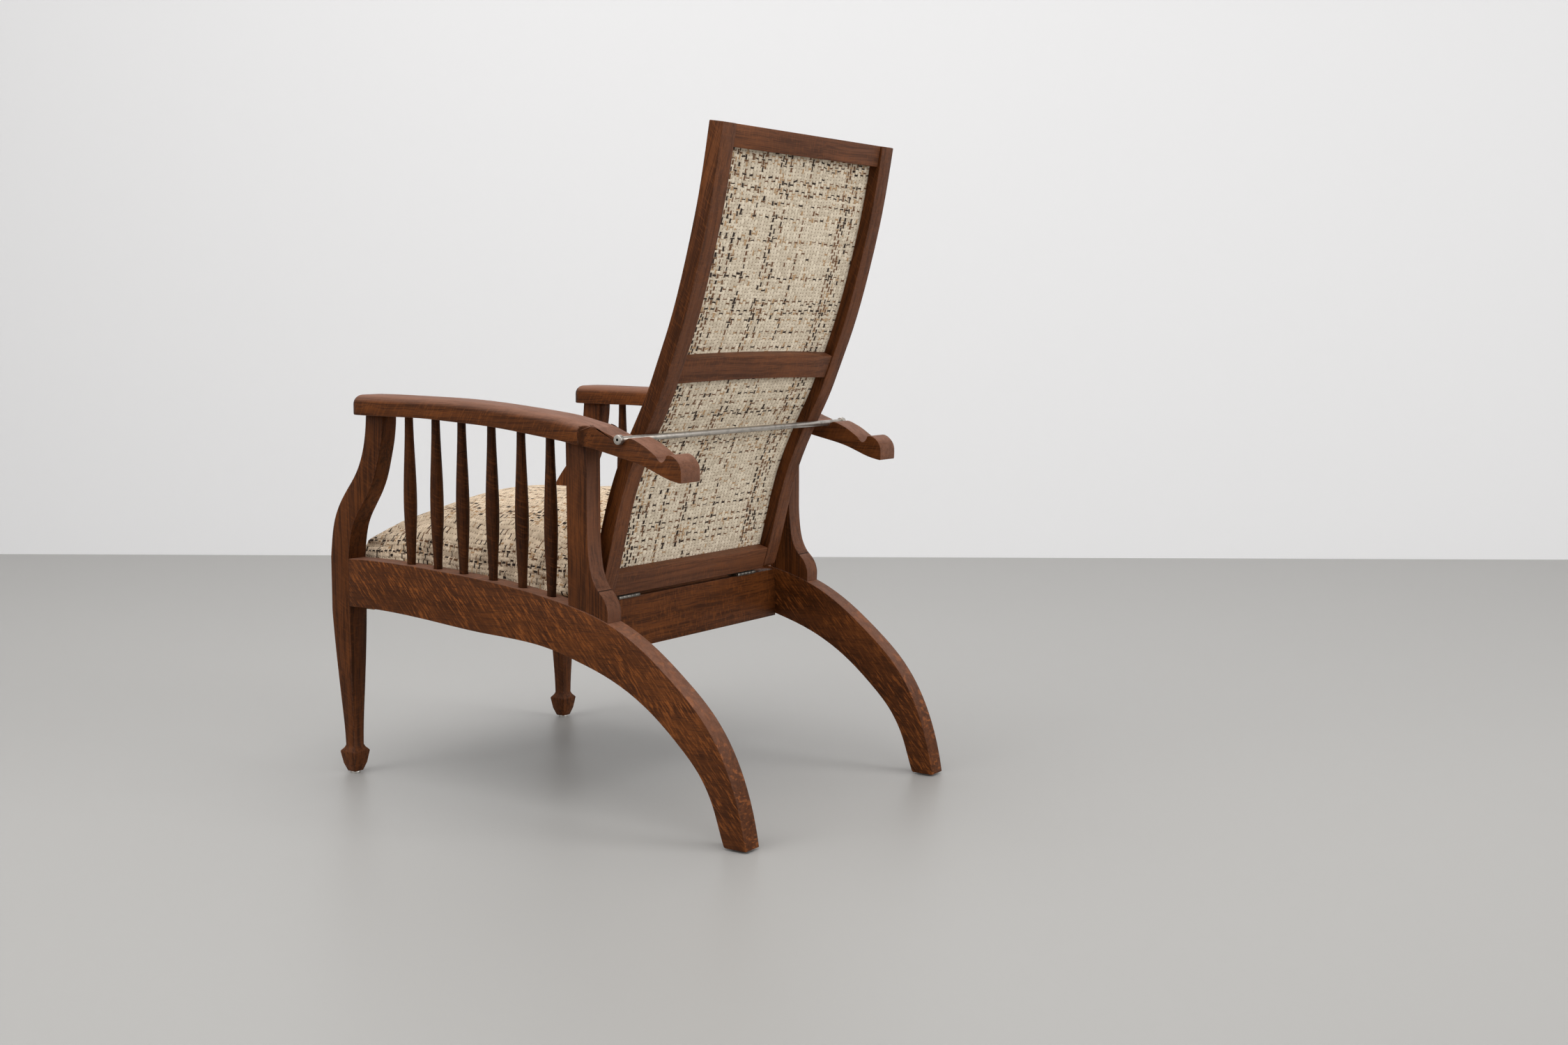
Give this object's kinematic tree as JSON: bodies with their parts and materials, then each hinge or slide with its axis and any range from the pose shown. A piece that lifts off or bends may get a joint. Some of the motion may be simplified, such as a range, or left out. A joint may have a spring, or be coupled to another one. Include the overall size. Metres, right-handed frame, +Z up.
{
  "type": "reclining armchair",
  "caption": "Wooden reclining armchair with arched side rails, spindle sides, notched arms, a prop rod and a hinged padded back.",
  "frame": {"origin": "on the floor under the middle of the chair's overall box", "axes": "+Z up, -Y towards the front of the seat, +X towards the sitter's left"},
  "size_m": [0.633, 0.8573, 1.0621],
  "materials": {
    "oak": "satin",
    "inner_wood": "matt",
    "tweed": "matt",
    "jute": "matt",
    "dark_cloth": "matt",
    "steel": "worn"
  },
  "bodies": {
    "frame": {"arched_board_left": "oak", "arched_board_right": "oak", "arm_left": "oak", "arm_right": "oak", "corner_blocks": "inner_wood", "dust_cloth": "dark_cloth", "floor_glides": "steel", "frame_dowels": "inner_wood", "front_leg_left": "oak", "front_leg_right": "oak", "front_seat_rail": "oak", "hinge_fixed_leaves": "steel", "hinge_fixed_screws": "steel", "post_toe_left": "oak", "post_toe_right": "oak", "rear_crossbar": "oak", "rear_post_left": "oak", "rear_post_right": "oak", "seat_cleat_left": "inner_wood", "seat_cleat_right": "inner_wood", "seat_cushion": "tweed", "seat_deck_cloth": "jute", "seat_springs": "jute", "seat_webbing_cross": "jute", "seat_webbing_long": "jute", "slip_frame_front": "inner_wood", "slip_frame_left": "inner_wood", "slip_frame_rear": "inner_wood", "slip_frame_right": "inner_wood", "spindle_left_1": "oak", "spindle_left_2": "oak", "spindle_left_3": "oak", "spindle_left_4": "oak", "spindle_left_5": "oak", "spindle_left_6": "oak", "spindle_right_1": "oak", "spindle_right_2": "oak", "spindle_right_3": "oak", "spindle_right_4": "oak", "spindle_right_5": "oak", "spindle_right_6": "oak"},
    "hinge_pin_set": {"hinge_pins": "steel"},
    "back": {"back_bottom_rail": "oak", "back_cloth_lower": "tweed", "back_cloth_upper": "tweed", "back_dowels": "inner_wood", "back_middle_rail": "oak", "back_pad": "tweed", "back_stile_left": "oak", "back_stile_right": "oak", "back_top_rail": "oak", "back_webbing": "jute", "hinge_moving_leaves": "steel", "hinge_moving_screws": "steel"},
    "rod": {"prop_rod": "steel", "rod_head_left": "steel", "rod_head_right": "steel"}
  },
  "joints": [
    {"name": "back_recline", "type": "hinge", "parent": "frame", "child": "hinge_pin_set", "pos_m": [0, 0.108, 0.3365], "axis": [-1, 0, 0], "range_deg": [0, 10]},
    {"name": "back_tip_forward", "type": "hinge", "parent": "hinge_pin_set", "child": "back", "pos_m": [0, 0.108, 0.3365], "axis": [-1, 0, 0], "range_deg": [-5, 0]},
    {"name": "rod_step", "type": "hinge", "parent": "frame", "child": "rod", "pos_m": [0, 0.23968, 0.56124], "axis": [-1, 0, 0], "range_deg": [0, 116]}
  ],
  "couplings": [
    {"joint": "rod_step", "follows": "back_recline", "ratio": 11.6}
  ]
}
